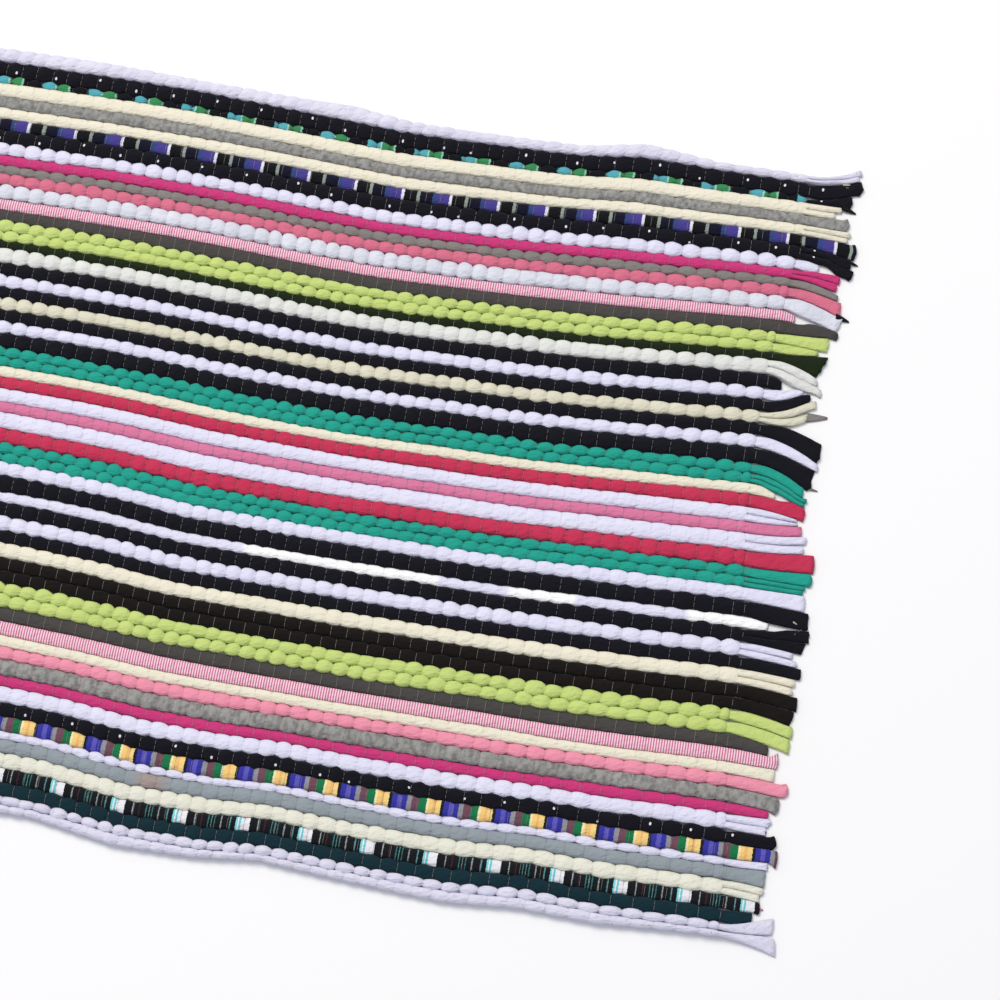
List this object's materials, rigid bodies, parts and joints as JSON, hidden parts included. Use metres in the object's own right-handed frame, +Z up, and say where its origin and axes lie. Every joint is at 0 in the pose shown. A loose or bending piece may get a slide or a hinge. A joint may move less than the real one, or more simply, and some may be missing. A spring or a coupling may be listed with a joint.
{
  "type": "rag rug",
  "caption": "Flat handwoven rag rug of coloured cotton strips laid lengthwise, with white edge strips and a short uneven fringe of cut rag ends at each end.",
  "frame": {"origin": "on the floor under the middle of the whole rug, fringes included", "axes": "+X along the rags, towards the fringe that the picture shows, +Y towards the far long edge, +Z up out of the rug's face"},
  "size_m": [0.9118, 0.6162, 0.008],
  "materials": {
    "woven_rags": "matte",
    "rag_ends": "matte"
  },
  "bodies": {
    "root": {"woven_cloth": "woven_rags", "fringe_right": "rag_ends", "fringe_left": "rag_ends"}
  },
  "joints": []
}
